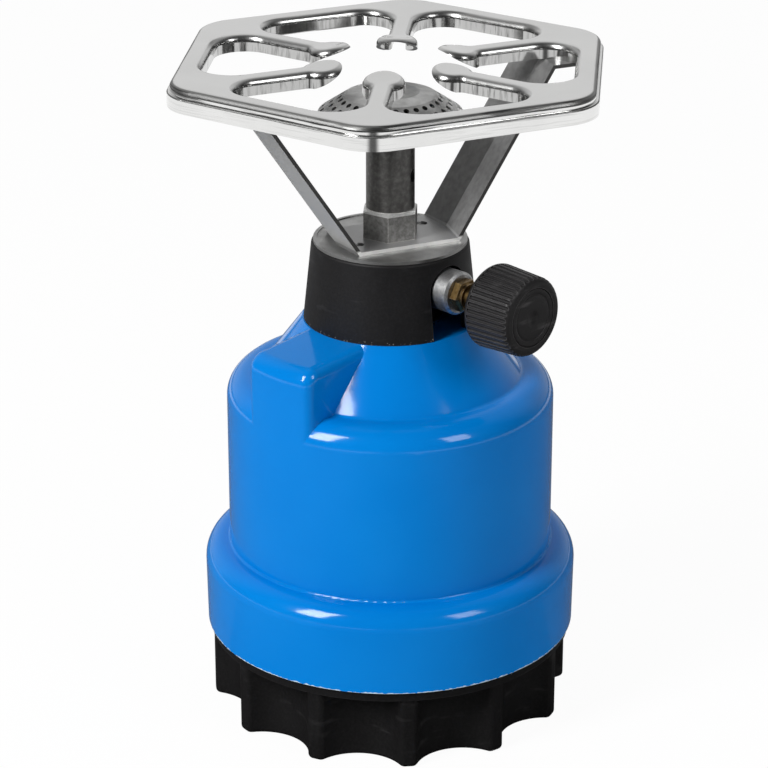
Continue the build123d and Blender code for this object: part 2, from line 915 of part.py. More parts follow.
def port_planes():
    """One plane for each port of the burner, square to the cone, row by row."""
    run = burner_radius - burner_flat_radius
    planes = []
    for row in range(port_rows):
        share = (2 * row + 1) / (2 * port_rows)
        radius = burner_radius - share * run
        height = tube_top + burner_sheet + share * burner_cone_rise
        for index in range(port_count):
            angle = radians(360 * (index + row / port_rows) / port_count)
            planes.append(
                Plane(
                    origin=(radius * cos(angle), radius * sin(angle), height),
                    z_dir=(burner_cone_rise * cos(angle), burner_cone_rise * sin(angle), run),
                )
            )
    return planes


cap_outside = cap_outline(burner_radius, tube_top + burner_sheet)
with cap_outside:
    round_corner((burner_radius, tube_top + burner_sheet), burner_edge_round)
cap_inside = cap_outline(burner_radius - burner_sheet, tube_top)
with BuildPart() as burner_cap:
    revolve(cap_outside.sketch, axis=Axis.Z)
    revolve(cap_inside.sketch, axis=Axis.Z, mode=Mode.SUBTRACT)
    with Locations(*port_planes()):
        Cylinder(port_radius, port_depth, mode=Mode.SUBTRACT)
save(burner_cap, "burner_cap")


def hexagon(apothem, corner_round, height):
    """A hexagon with rounded corners, one of them along +X, at a height."""
    with BuildSketch(Plane.XY.offset(height)) as outline:
        RegularPolygon(apothem, finger_count, major_radius=False)
        fillet(vertices(), corner_round)
    return outline.sketch


def star_opening(grow, height):
    """The star-shaped opening between the fingers, widened all round by grow."""
    with BuildSketch(Plane.XY.offset(height)) as star:
        RegularPolygon(support_apothem - opening_inset + grow, finger_count, major_radius=False)
        with PolarLocations(finger_head_reach, finger_count):
            Rectangle(
                2 * support_apothem,
                finger_width - 2 * grow,
                align=(Align.MIN, Align.CENTER),
                mode=Mode.SUBTRACT,
            )
        fillet(star.vertices().filter_by(is_finger_root), finger_root_round + grow)
        with PolarLocations(finger_head_reach, finger_count):
            Circle(finger_head_radius - grow, mode=Mode.SUBTRACT)
        fillet(star.vertices().filter_by(is_finger_neck), finger_neck_round + grow)
    return star.sketch


def is_finger_root(corner):
    """Whether a corner of the star lies where a finger leaves the rim."""
    return hypot(corner.X, corner.Y) > (finger_head_reach + support_apothem) / 2


def is_finger_neck(corner):
    """Whether a corner of the star lies where a finger's neck meets its head."""
    reach = hypot(corner.X, corner.Y)
    return finger_head_reach < reach < finger_head_reach + finger_head_radius


def space_above(drop):
    """Half section of the space over the pressing's skin, or that far below its upper side."""
    flat_z = support_top - drop
    tip_z = finger_tip_top - drop
    ceiling = finger_tip_top + support_rim_height
    with BuildSketch(Plane.XZ) as space:
        with BuildLine():
            Polyline(
                (finger_tip_reach, tip_z),
                (0, tip_z),
                (0, ceiling),
                (2 * support_apothem, ceiling),
                (2 * support_apothem, flat_z),
                (finger_lift_reach, flat_z),
            )
            TangentArc((finger_lift_reach, flat_z), (finger_tip_reach, tip_z), tangent=(-1, 0))
        make_face()
    return space.sketch


def is_on_rim(edge):
    """Whether an edge of the pressing lies outside the raised ends of the fingers."""
    return hypot(edge.center().X, edge.center().Y) > finger_lift_reach


# Pot support: hexagonal pressing with a stepped rim, a lipped opening and six fingers with raised tips
flange_apothem = support_apothem + support_flange_lip
inner_apothem = support_apothem - support_sheet
flange_top = support_bottom + support_flange_height
press_height = finger_tip_top - support_bottom
with BuildPart() as support_hollow:
    with BuildSketch(Plane.XY.offset(support_bottom)):
        add(hexagon(inner_apothem, support_corner_round - support_sheet, 0))
        add(star_opening(support_sheet, 0), mode=Mode.SUBTRACT)
    extrude(amount=press_height)
    revolve(space_above(support_sheet), axis=Axis.Z, mode=Mode.SUBTRACT)

with BuildPart() as support_blank:
    extrude(hexagon(flange_apothem, support_corner_round, support_bottom), amount=support_flange_height)
    fillet(faces().sort_by(Axis.Z)[-1].edges(), flange_round)
    upper_rim = hexagon(support_apothem, support_corner_round, flange_top)
    extrude(upper_rim, amount=finger_tip_top - flange_top)
    revolve(space_above(0), axis=Axis.Z, mode=Mode.SUBTRACT)
    top_edges = edges().filter_by_position(Axis.Z, support_top, support_top)
    fillet(top_edges.filter_by(is_on_rim), rim_round)
    add(support_hollow.part, mode=Mode.SUBTRACT)
    lip_relief = star_opening(2 * support_sheet, support_bottom)
    extrude(lip_relief, amount=lip_bottom - support_bottom, mode=Mode.SUBTRACT)
    extrude(star_opening(0, support_bottom), amount=press_height, mode=Mode.SUBTRACT)
    flat_edges = faces().filter_by(Plane.XY).sort_by(Axis.Z)[-1].inner_wires()[0].edges()
    head_faces = faces().sort_by(Axis.Z)[-finger_count:]
    head_edges = head_faces.edges()
    fillet(flat_edges + head_edges - (flat_edges & head_edges), lip_round)
    turn(
        [
            (0, finger_tip_top - support_sheet),
            (finger_tip_reach, finger_tip_top - support_sheet),
            (tip_lip_reach, lip_bottom),
            (tip_lip_reach, support_bottom),
            (0, support_bottom),
        ],
        mode=Mode.SUBTRACT,
    )

with BuildPart() as pot_support:
    add(support_blank.part.rotate(Axis.Z, support_angle))
save(pot_support, "pot_support")
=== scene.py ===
# %% [markdown]
# A small camping gas stove: a blue lacquered housing closes round a gas cartridge and stands on a black
# screw-on base. A black collar on its neck carries the valve, and a bent steel strip carries a pressed
# hexagonal pot support over the burner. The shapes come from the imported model, which is loaded as a fixed
# frame in metres. This lesson adds the camera, the studio, the finish of every part and the fine pieces
# that are too small for the solids.

# %% The frame
import json
from math import cos, pi, radians, sin
import bmesh
import bpy
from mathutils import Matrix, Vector


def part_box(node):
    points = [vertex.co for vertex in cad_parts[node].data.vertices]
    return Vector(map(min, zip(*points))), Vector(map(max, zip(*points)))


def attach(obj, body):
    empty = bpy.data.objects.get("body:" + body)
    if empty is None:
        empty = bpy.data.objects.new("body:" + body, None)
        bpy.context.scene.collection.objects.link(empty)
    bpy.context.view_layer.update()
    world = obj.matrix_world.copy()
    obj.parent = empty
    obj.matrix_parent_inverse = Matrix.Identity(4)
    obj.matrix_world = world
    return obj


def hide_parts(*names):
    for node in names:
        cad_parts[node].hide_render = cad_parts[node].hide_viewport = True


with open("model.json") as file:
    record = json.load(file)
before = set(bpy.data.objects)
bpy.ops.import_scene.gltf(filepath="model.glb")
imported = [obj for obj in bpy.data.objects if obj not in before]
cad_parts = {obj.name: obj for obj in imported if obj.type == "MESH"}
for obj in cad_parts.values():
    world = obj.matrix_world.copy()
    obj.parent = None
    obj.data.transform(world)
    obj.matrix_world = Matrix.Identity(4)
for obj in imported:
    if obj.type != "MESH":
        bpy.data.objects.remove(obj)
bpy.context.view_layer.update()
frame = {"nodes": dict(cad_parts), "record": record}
nodes = frame["nodes"]
MM = 0.001

# %% [markdown]
# The camera stands in front of the stove's right-hand corner and looks down on it through a long lens,
# which keeps the sides of the housing almost parallel. A real lens of that length on a full-frame
# sensor gives the same perspective, so the values are written as a photographer would note them.

# %% Camera
VIEW_TURN = radians(44.2)
VIEW_PITCH = radians(22.247)
STAND_BACK = 0.80472
STAND_ASIDE = -0.00186
LENS_HEIGHT = 0.42992
LENS_LENGTH = 135.68
FULL_FRAME = 36.0

camera_data = bpy.data.cameras.new("camera")
camera_data.lens = LENS_LENGTH
camera_data.sensor_width = FULL_FRAME
camera = bpy.data.objects.new("camera", camera_data)
camera.location = (
    STAND_ASIDE * cos(VIEW_TURN) + STAND_BACK * sin(VIEW_TURN),
    STAND_ASIDE * sin(VIEW_TURN) - STAND_BACK * cos(VIEW_TURN),
    LENS_HEIGHT,
)
camera.rotation_euler = (pi / 2 - VIEW_PITCH, 0, VIEW_TURN)
bpy.context.scene.collection.objects.link(camera)
bpy.context.scene.camera = camera
bpy.context.scene.view_settings.view_transform = "Standard"
print("camera at", [round(value, 3) for value in camera.location])

# %% [markdown]
# Two helpers serve every material. Paint shops and web pages give colours as sRGB hex, while shaders
# add up light, so one function turns hex into linear values. The other adds a node: what belongs to the
# node itself goes in as a setting, and each input is either a plain value or the socket that feeds it.


# %% Colour and node helpers
def linear(hex_colour):
    """Linear red, green, blue and alpha of an sRGB hex colour."""
    shares = [int(hex_colour[start:start + 2], 16) / 255 for start in (1, 3, 5)]
    return [s / 12.92 if s <= 0.04045 else ((s + 0.055) / 1.055) ** 2.4 for s in shares] + [1.0]


def add(tree, kind, inputs, **settings):
    """Adds one shader node with its settings, and sets or links its inputs."""
    node = tree.nodes.new("ShaderNode" + kind)
    for name, value in settings.items():
        setattr(node, name, value)
    for name, value in inputs.items():
        if isinstance(value, bpy.types.NodeSocket):
            tree.links.new(value, node.inputs[name])
        else:
            node.inputs[name].default_value = value
    return node


print("lacquer blue in linear light:", [round(value, 3) for value in linear("#007FD3")])

# %% [markdown]
# The stove stands on a seamless white table top. Under plain studio light a white floor renders a little
# grey, so for the rays that show it, directly or in a reflection, most of its shader is a plain white
# glow. The rest is ordinary white paper, which keeps the soft shadow under the base. Photographers keep
# white paper out of what lacquer mirrors, because it greys the colour, and lay a black card in front of
# bright metal, which has no form when it mirrors nothing but white. Here both are patches of the floor
# whose glow fades, seen in reflections alone: a disc round the stove, and a lane towards the camera.
# The far floor is dim as well, or else every bend would show it as one pale line along its length.

# %% Floor
FLOOR_REACH = 4.0
FIBRE_SIZE = 40 * MM
GLOW_SHARE = 0.96
DISC_EDGE = (0.42, 0.62)
DISC_GLOW = 0.12
FAR_EDGE = (0.8, 1.3)
FAR_GLOW = 0.1
LANE_SIDE = (0.05, 0.18)
LANE_GLOW = 0.08

floor_paper = bpy.data.materials.new("white_paper_sweep")
floor_paper.use_nodes = True
tree = floor_paper.node_tree
tree.nodes.clear()
rays = add(tree, "LightPath", {}).outputs
shown = add(tree, "Math", {0: rays["Is Camera Ray"], 1: rays["Is Glossy Ray"]}, operation="MAXIMUM")
shown = add(tree, "Math", {0: shown.outputs[0], 1: rays["Is Transmission Ray"]}, operation="MAXIMUM")
share = add(tree, "Math", {0: shown.outputs[0], 1: GLOW_SHARE}, operation="MULTIPLY")
fibre = add(tree, "TexNoise", {"Scale": 1 / FIBRE_SIZE, "Detail": 3.0})
tone = add(
    tree, "Mix", {0: fibre.outputs["Fac"], 6: linear("#F3F3F2"), 7: linear("#F8F8F7")}, data_type="RGBA"
)
paper = add(tree, "BsdfDiffuse", {"Color": tone.outputs[2]})

spot = add(tree, "TexCoord", {}).outputs["Object"]
reach = add(tree, "VectorMath", {0: spot}, operation="LENGTH").outputs["Value"]
disc = add(tree, "MapRange", {0: reach, 1: DISC_EDGE[0], 2: DISC_EDGE[1], 3: DISC_GLOW, 4: 1.0},
           interpolation_type="SMOOTHSTEP")
turned = add(tree, "VectorRotate", {"Vector": spot, "Angle": -VIEW_TURN}, rotation_type="Z_AXIS")
sideways, away, _ = add(tree, "SeparateXYZ", {0: turned.outputs[0]}).outputs
beside = add(tree, "Math", {0: sideways}, operation="ABSOLUTE").outputs[0]
behind = add(tree, "Math", {0: away, 1: 0.0}, operation="GREATER_THAN").outputs[0]
lane = add(tree, "MapRange", {0: beside, 1: LANE_SIDE[0], 2: LANE_SIDE[1], 3: LANE_GLOW, 4: 1.0},
           interpolation_type="SMOOTHSTEP")
lane = add(tree, "Math", {0: lane.outputs[0], 1: behind}, operation="MAXIMUM")
far = add(tree, "MapRange", {0: reach, 1: FAR_EDGE[0], 2: FAR_EDGE[1], 3: 1.0, 4: FAR_GLOW},
          interpolation_type="SMOOTHSTEP")
near = add(tree, "Math", {0: disc.outputs[0], 1: far.outputs[0]}, operation="MULTIPLY")
mirrored = add(tree, "Math", {0: near.outputs[0], 1: lane.outputs[0]}, operation="MULTIPLY")
power = add(tree, "Math", {0: mirrored.outputs[0], 1: rays["Is Camera Ray"]}, operation="MAXIMUM")
glow = add(tree, "Emission", {"Color": linear("#FFFFFF"), "Strength": power.outputs[0]})
mixed = add(tree, "MixShader", {0: share.outputs[0], 1: paper.outputs[0], 2: glow.outputs[0]})
add(tree, "OutputMaterial", {"Surface": mixed.outputs[0]})

bpy.ops.mesh.primitive_grid_add(x_subdivisions=8, y_subdivisions=8, size=2 * FLOOR_REACH)
floor = bpy.context.object
floor.name = "floor"
floor.data.materials.append(floor_paper)
print("floor of", 2 * FLOOR_REACH, "m")

# %% [markdown]
# Glossy lacquer and bright plating show the room, so the room is lit the way a catalogue studio is: a
# pale wall behind the object, a darker room behind the camera, and two soft boxes, one each side of the
# lens. The pale wall greys the plating, the dark room draws the thin dark lines along its bent edges,
# and each soft box leaves one clean highlight on the shoulder and one on the band.

# %% Room and soft boxes
WALL_AZIMUTH = radians(134)
WALL_HEIGHT = radians(24)
WALL_SPREAD = (0.2, 0.97)
WALL_GLOW = (0.05, 0.70)
BOX_DISTANCE = 1.6
AIM = Vector((0.0, 0.0, 0.10))

world = bpy.data.worlds.new("studio_room")
bpy.context.scene.world = world
world.use_nodes = True
tree = world.node_tree
tree.nodes.clear()
level_share = cos(WALL_HEIGHT)
to_wall = (level_share * cos(WALL_AZIMUTH), level_share * sin(WALL_AZIMUTH), sin(WALL_HEIGHT))
direction = add(tree, "TexCoord", {}).outputs["Generated"]
facing = add(tree, "VectorMath", {0: direction, 1: to_wall}, operation="DOT_PRODUCT")
bright = add(
    tree, "MapRange",
    {0: facing.outputs["Value"], 1: WALL_SPREAD[0], 2: WALL_SPREAD[1], 3: WALL_GLOW[0], 4: WALL_GLOW[1]},
    interpolation_type="SMOOTHSTEP",
)
room = add(tree, "Background", {"Color": bright.outputs[0], "Strength": 1.0})
add(tree, "OutputWorld", {"Surface": room.outputs[0]})


def soft_box(name, azimuth, height, wide, tall, radiance):
    """A rectangular soft light that faces the stove from a compass direction and a height, in degrees."""
    lamp = bpy.data.lights.new(name, "AREA")
    lamp.shape = "RECTANGLE"
    lamp.size = wide
    lamp.size_y = tall
    lamp.energy = radiance * pi * wide * tall
    box = bpy.data.objects.new(name, lamp)
    turn, rise = radians(azimuth), radians(height)
    away = Vector((cos(rise) * cos(turn), cos(rise) * sin(turn), sin(rise)))
    box.location = AIM + BOX_DISTANCE * away
    box.rotation_euler = away.to_track_quat("Z", "Y").to_euler()
    bpy.context.scene.collection.objects.link(box)
    print(name, "of", wide, "by", tall, "m,", round(lamp.energy), "W")


soft_box("soft_box_left", azimuth=-97, height=37, wide=0.46, tall=0.90, radiance=20.0)
soft_box("soft_box_right", azimuth=4, height=32, wide=0.44, tall=0.62, radiance=6.6)

# %% [markdown]
# Every material starts the same way: a Principled shader whose uniform values are set on its own
# sockets, and the object coordinates, which on these parts are metres in the stove's own frame. A
# pattern of a given size in millimetres then has a scale of one over that size.


# %% Starting a material
def start_material(name, **uniform):
    """A material with a Principled shader; returns it with its tree, shader and place in metres."""
    material = bpy.data.materials.new(name)
    material.use_nodes = True
    tree = material.node_tree
    tree.nodes.clear()
    shader = add(tree, "BsdfPrincipled", {key.replace("_", " "): value for key, value in uniform.items()})
    add(tree, "OutputMaterial", {"Surface": shader.outputs[0]})
    place = add(tree, "TexCoord", {}).outputs["Object"]
    return material, tree, shader, place


finishes = {}

# %% [markdown]
# The housing is drawn steel, sprayed with a blue stoving lacquer. Wet lacquer levels out under surface
# tension but keeps a faint ripple, called orange peel, about two millimetres across. It bends the edges
# of reflections without dulling them, so it is a shallow bump under a low roughness. Overspray settles
# on faces that look up, which shine less. Along the lower edge, where the base is screwed on and off,
# the film has chipped to a pale ragged line.

# %% Blue stoving lacquer
CLOUD_SIZE = 30 * MM
PEEL_SIZE = 2.2 * MM
CHIP_SIZE = 1.4 * MM
CHIP_HEIGHT = 0.55 * MM
SHINE = 0.38
SHINE_ON_TOP = 0.12

material, tree, shader, place = start_material("blue_stoving_lacquer", Metallic=0.0, IOR=1.5)
cloud = add(tree, "TexNoise", {"Vector": place, "Scale": 1 / CLOUD_SIZE, "Detail": 3.0})
film = add(
    tree, "Mix", {0: cloud.outputs["Fac"], 6: linear("#0074C9"), 7: linear("#007FD3")}, data_type="RGBA"
)
height = add(tree, "SeparateXYZ", {0: place}).outputs["Z"]
chips = add(tree, "TexNoise", {"Vector": place, "Scale": 1 / CHIP_SIZE, "Detail": 4.0})
edge_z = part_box("housing")[0].z
ragged = add(tree, "MapRange", {0: chips.outputs["Fac"], 1: 0.35, 2: 0.75, 3: 0.0, 4: CHIP_HEIGHT})
above = add(tree, "Math", {0: height, 1: edge_z}, operation="SUBTRACT")
chipped = add(tree, "Math", {0: above.outputs[0], 1: ragged.outputs[0]}, operation="LESS_THAN")
colour = add(
    tree, "Mix", {0: chipped.outputs[0], 6: film.outputs[2], 7: linear("#BFD2DF")}, data_type="RGBA"
)
gloss = add(tree, "MapRange", {0: cloud.outputs["Fac"], 1: 0.3, 2: 0.7, 3: 0.09, 4: 0.13})
peel = add(tree, "TexNoise", {"Vector": place, "Scale": 1 / PEEL_SIZE, "Detail": 2.0})
ripple = add(tree, "Bump", {"Strength": 0.25, "Distance": 0.01 * MM, "Height": peel.outputs["Fac"]})
upward = add(tree, "SeparateXYZ", {0: add(tree, "NewGeometry", {}).outputs["Normal"]}).outputs["Z"]
shine = add(tree, "MapRange", {0: upward, 1: 0.6, 2: 0.95, 3: SHINE, 4: SHINE_ON_TOP})
tree.links.new(colour.outputs[2], shader.inputs["Base Color"])
tree.links.new(shine.outputs[0], shader.inputs["Specular IOR Level"])
tree.links.new(gloss.outputs[0], shader.inputs["Roughness"])
tree.links.new(ripple.outputs[0], shader.inputs["Normal"])
finishes["blue_lacquer"] = material
print(material.name, "with orange peel of", PEEL_SIZE / MM, "mm")

# %% [markdown]
# Base and collar are injection moulded in black polypropylene. The mould was spark eroded, which leaves
# a fine matt grain, and handling has left pale scuffs. The grain is finer than a pixel, so it is drawn
# a little coarser than it is. The scuffs are stretched noise, cut off so that only its peaks show. Sharp
# edges are laid pale, partly as wear and partly as a painted highlight: the bevel node bends the normal
# near an edge, and where it leaves the true normal, the edge turns pale. The knob is a harder phenolic
# with more of that pale edge on its ribs.


# %% Moulded black plastics
def moulded_plastic(name, dark, light, scuff, grain_size, rough_low, rough_high, edge_wear_and_highlight):
    """Black moulded plastic with a mould grain, cloudy gloss, a few pale scuffs, and edges laid pale as wear
    and painted highlight.
    """
    material, tree, shader, place = start_material(name, Metallic=0.0, IOR=1.49, Specular_IOR_Level=0.3)
    grain = add(
        tree, "TexNoise", {"Vector": place, "Scale": 1 / grain_size, "Detail": 4.0, "Roughness": 0.6}
    )
    cloud = add(tree, "TexNoise", {"Vector": place, "Scale": 1 / (14 * MM), "Detail": 5.0})
    speckle = add(tree, "MapRange", {0: grain.outputs["Fac"], 1: 0.42, 2: 0.72})
    body = add(tree, "Mix", {0: speckle.outputs[0], 6: linear(dark), 7: linear(light)}, data_type="RGBA")
    long_way = add(tree, "Mapping", {"Vector": place, "Scale": (0.45, 0.45, 2.2)})
    rubbed = add(tree, "TexNoise", {"Vector": long_way.outputs[0], "Scale": 1 / (5 * MM), "Detail": 6.0})
    peaks = add(tree, "MapRange", {0: rubbed.outputs["Fac"], 1: 0.60, 2: 0.78, 3: 0.0, 4: 0.55})
    rounded = add(tree, "Bevel", {"Radius": 0.35 * MM}, samples=4).outputs[0]
    true_normal = add(tree, "NewGeometry", {}).outputs["Normal"]
    match = add(tree, "VectorMath", {0: rounded, 1: true_normal}, operation="DOT_PRODUCT")
    rub_and_highlight = add(tree, "MapRange", {0: match.outputs["Value"], 1: 0.99, 2: 0.92, 3: 0.0, 4: edge_wear_and_highlight})
    pale = add(tree, "Math", {0: peaks.outputs[0], 1: rub_and_highlight.outputs[0]}, operation="MAXIMUM")
    # pale edges: partly wear, partly a painted highlight along each edge
    colour = add(tree, "Mix", {0: pale.outputs[0], 6: body.outputs[2], 7: linear(scuff)}, data_type="RGBA")
    gloss = add(tree, "MapRange", {0: cloud.outputs["Fac"], 1: 0.3, 2: 0.7, 3: rough_low, 4: rough_high})
    tooth = add(tree, "Bump", {"Strength": 0.5, "Distance": 0.05 * MM, "Height": grain.outputs["Fac"]})
    tree.links.new(colour.outputs[2], shader.inputs["Base Color"])
    tree.links.new(gloss.outputs[0], shader.inputs["Roughness"])
    tree.links.new(tooth.outputs[0], shader.inputs["Normal"])
    print(name, "with a grain of", round(grain_size / MM, 2), "mm")
    return material


finishes["base_plastic"] = moulded_plastic(
    "black_polypropylene_eroded", dark="#100F10", light="#191819", scuff="#3A393A",
    grain_size=0.7 * MM, rough_low=0.46, rough_high=0.62, edge_wear_and_highlight=0.4,
)
finishes["knob_plastic"] = moulded_plastic(
    "black_phenolic_moulded", dark="#1A191A", light="#262526", scuff="#565455",
    grain_size=0.45 * MM, rough_low=0.36, rough_high=0.50, edge_wear_and_highlight=0.8,
)

# %% [markdown]
# All the metals are made alike: a grey or yellow base colour that is also their reflection, a cloudy
# tone and a cloudy roughness. What differs is the way each was worked: plating evens the surface out,
# heat mottles a burner tube, and casting leaves a pebbled skin. Edges are laid brighter, partly as wear
# and partly as a painted highlight, by the same bevel test as on the plastics.


# %% Worked metals
def worked_metal(name, bright, dull, rough_low, rough_high, mottle_size, mottled, skin, edge_wear_and_highlight):
    """A metal with a mottled tone, a cloudy roughness, a surface skin, and edges laid brighter as wear and
    painted highlight.
    """
    material, tree, shader, place = start_material(name, Metallic=1.0)
    true_normal = add(tree, "NewGeometry", {}).outputs["Normal"]
    mottle = add(
        tree, "TexNoise", {"Vector": place, "Scale": 1 / mottle_size, "Detail": 6.0, "Roughness": 0.6}
    )
    cloud = add(tree, "MapRange", {0: mottle.outputs["Fac"], 1: 0.36, 2: 0.64, 3: 0.0, 4: mottled})
    skin_tone = add(tree, "Mix", {0: cloud.outputs[0], 6: linear(bright), 7: linear(dull)}, data_type="RGBA")
    rounded = add(tree, "Bevel", {"Radius": 0.4 * MM}, samples=4).outputs[0]
    match = add(tree, "VectorMath", {0: rounded, 1: true_normal}, operation="DOT_PRODUCT")
    rub_and_highlight = add(tree, "MapRange", {0: match.outputs["Value"], 1: 0.99, 2: 0.90, 3: 0.0, 4: edge_wear_and_highlight})
    # pale edges: partly wear, partly a painted highlight along each edge
    colour = add(
        tree, "Mix", {0: rub_and_highlight.outputs[0], 6: skin_tone.outputs[2], 7: linear("#E8E6E2")}, data_type="RGBA"
    )
    gloss = add(tree, "MapRange", {0: mottle.outputs["Fac"], 1: 0.3, 2: 0.7, 3: rough_low, 4: rough_high})
    relief = add(tree, "Bump", {"Strength": 0.6, "Distance": skin, "Height": mottle.outputs["Fac"]})
    tree.links.new(colour.outputs[2], shader.inputs["Base Color"])
    tree.links.new(gloss.outputs[0], shader.inputs["Roughness"])
    tree.links.new(relief.outputs[0], shader.inputs["Normal"])
    print(name, "with mottle of", round(mottle_size / MM, 2), "mm")
    return material


# finish: material, bright, dull, rough_low, rough_high, mottle_size, mottled, skin, edge_wear_and_highlight
METALS = {
    "nickel_plate": ("bright_nickel_plate", "#EAEAE9", "#9C9C9B", 0.09, 0.13, 40 * MM, 0.12, 0.001 * MM, 0.0),
    "zinc_plate": ("zinc_plated_strip", "#AEAEAE", "#969696", 0.30, 0.38, 25 * MM, 0.6, 0.002 * MM, 0.0),
    "burner_steel": ("turned_burner_steel", "#A09F9D", "#7C7B79", 0.30, 0.42, 1.1 * MM, 1.0, 0.006 * MM, 0.8),
    "burner_plate": ("pressed_burner_steel", "#CACAC9", "#A9A9A8", 0.34, 0.44, 3 * MM, 0.7, 0.004 * MM, 0.2),
    "die_cast": ("die_cast_zinc", "#E0E0E0", "#ABACAD", 0.38, 0.52, 1.6 * MM, 1.0, 0.02 * MM, 0.3),
    "steel": ("machined_steel", "#B4B3B0", "#8F8E8B", 0.25, 0.38, 3 * MM, 1.0, 0.005 * MM, 0.4),
    "tinplate": ("drawn_tinplate", "#C9CACB", "#ABACAD", 0.22, 0.34, 12 * MM, 0.8, 0.004 * MM, 0.2),
    "brass": ("aged_turned_brass", "#A5895A", "#67502F", 0.26, 0.42, 2.2 * MM, 1.0, 0.008 * MM, 0.15),
    "bronze_filter": ("sintered_bronze", "#A07B4C", "#6B4E2E", 0.50, 0.70, 0.5 * MM, 1.0, 0.06 * MM, 0.0),
    "dish_plate": ("heat_dulled_nickel_plate", "#B4B4B3", "#8E8E8D", 0.34, 0.44, 9 * MM, 0.8, 0.002 * MM, 0.1),
}
for finish, look in METALS.items():
    finishes[finish] = worked_metal(*look)

# %% [markdown]
# A zinc-plated strip is passivated: a thin chromate film over the zinc scatters half of the light, so
# it looks paler and duller than bare metal, and the metallic share of its shader is lowered.

# %% Passivated zinc
ZINC_SHOWING = 0.5
zinc_shader = finishes["zinc_plate"].node_tree.nodes["Principled BSDF"]
zinc_shader.inputs["Metallic"].default_value = ZINC_SHOWING
print("zinc shows through by", ZINC_SHOWING)

# %% [markdown]
# Four finishes carry a second tone, which is laid over the first one by masks. A mask is a height, a
# slope, a direction or a noise, turned into a share from 0 to 1, and several masks are multiplied.


# %% Second tones
def lay_over(finish, masks, hex_colour):
    """Lays a second colour over a finished material, by the product of its masks."""
    tree = finishes[finish].node_tree
    share = masks[0]
    for mask in masks[1:]:
        share = add(tree, "Math", {0: share, 1: mask}, operation="MULTIPLY").outputs[0]
    base = tree.nodes["Principled BSDF"].inputs["Base Color"]
    under = base.links[0].from_socket
    mixed = add(tree, "Mix", {0: share, 6: under, 7: linear(hex_colour)}, data_type="RGBA")
    tree.links.new(mixed.outputs[2], base)
    print("second tone", hex_colour, "on", finishes[finish].name)


def open_finish(finish, grain):
    """The tree of a finished material, with the place in metres, the height and a noise in it."""
    tree = finishes[finish].node_tree
    place = tree.nodes["Texture Coordinate"].outputs["Object"]
    height = add(tree, "SeparateXYZ", {0: place}).outputs["Z"]
    noise = add(tree, "TexNoise", {"Vector": place, "Scale": 1 / grain, "Detail": 5.0}).outputs["Fac"]
    return tree, place, height, noise


# %% [markdown]
# The lip walls of the pot support are laid greyer than the flat as painted shade, and carry fine upright
# dark lines. The outer rim carries dark lines along its length, which are painted reflections of the room.
# Lines of either kind are noise that a small scale stretches. The slant is the upright share of the normal:
# 1 on the flat and 0 on a wall.

# %% Lips and rim of the pot support
LIP_REACH = 54 * MM
LINE_WIDTH = 0.7 * MM
UPRIGHT_LINES = (1, 1, 0.1)
LEVEL_LINES = (0.04, 0.04, 1.4)

rim_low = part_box("pot_support")[0].z
tree, place, height, noise = open_finish("nickel_plate", 8 * MM)
upward = add(tree, "SeparateXYZ", {0: add(tree, "NewGeometry", {}).outputs["Normal"]}).outputs["Z"]
slant = add(tree, "Math", {0: upward}, operation="ABSOLUTE").outputs[0]
steep = add(tree, "MapRange", {0: slant, 1: 0.7, 2: 0.3}).outputs[0]
sloping = add(tree, "MapRange", {0: slant, 1: 0.97, 2: 0.80}).outputs[0]
level = add(tree, "VectorMath", {0: place, 1: (1, 1, 0)}, operation="MULTIPLY")
reach = add(tree, "VectorMath", {0: level.outputs[0]}, operation="LENGTH").outputs["Value"]
inner = add(tree, "MapRange", {0: reach, 1: LIP_REACH, 2: LIP_REACH + 2 * MM, 3: 1.0, 4: 0.0}).outputs[0]
outer = add(tree, "Math", {0: 1.0, 1: inner}, operation="SUBTRACT").outputs[0]
patchy = add(tree, "MapRange", {0: noise, 1: 0.35, 2: 0.60, 3: 0.2, 4: 1.0}).outputs[0]
rising = add(tree, "MapRange", {0: height, 1: rim_low + 3 * MM, 2: rim_low + 5 * MM, 3: 0.1, 4: 0.9})
lines = []
for scale, low, high in ((UPRIGHT_LINES, 0.48, 0.68), (LEVEL_LINES, 0.53, 0.60)):
    pulled = add(tree, "Mapping", {"Vector": place, "Scale": scale})
    strands = add(tree, "TexNoise", {"Vector": pulled.outputs[0], "Scale": 1 / LINE_WIDTH, "Detail": 5.0})
    lines.append(add(tree, "MapRange", {0: strands.outputs["Fac"], 1: low, 2: high}).outputs[0])
upright_streaks, rim_reflection_lines = lines
# painted shade: the lip walls are laid greyer than the flat
lay_over("nickel_plate", (steep, inner, 0.45), "#7C7C7B")
lay_over("nickel_plate", (upright_streaks, steep, inner, patchy, 0.8), "#5E5E5D")
# painted reflection of the dark room: level dark lines along the outer rim
lay_over("nickel_plate", (rim_reflection_lines, sloping, outer, rising.outputs[0]), "#3C3C3B")

# %% [markdown]
# Polishing doesn't reach into the bends of the pot support, which stay duller. The bends are also laid
# darker, a painted shade and painted dark reflection that is heaviest along the outer rim. A bend is where
# the slant lies between that of a wall and that of the flat.

# %% Bends of the pot support
LIP_DULLNESS = 0.14
RIM_DULLNESS = 0.30

off_wall = add(tree, "MapRange", {0: slant, 1: 0.10, 2: 0.35}).outputs[0]
off_flat = add(tree, "MapRange", {0: slant, 1: 0.94, 2: 0.84}).outputs[0]
bend_shade_share = add(tree, "MapRange", {0: outer, 3: 0.25, 4: 0.75}).outputs[0]
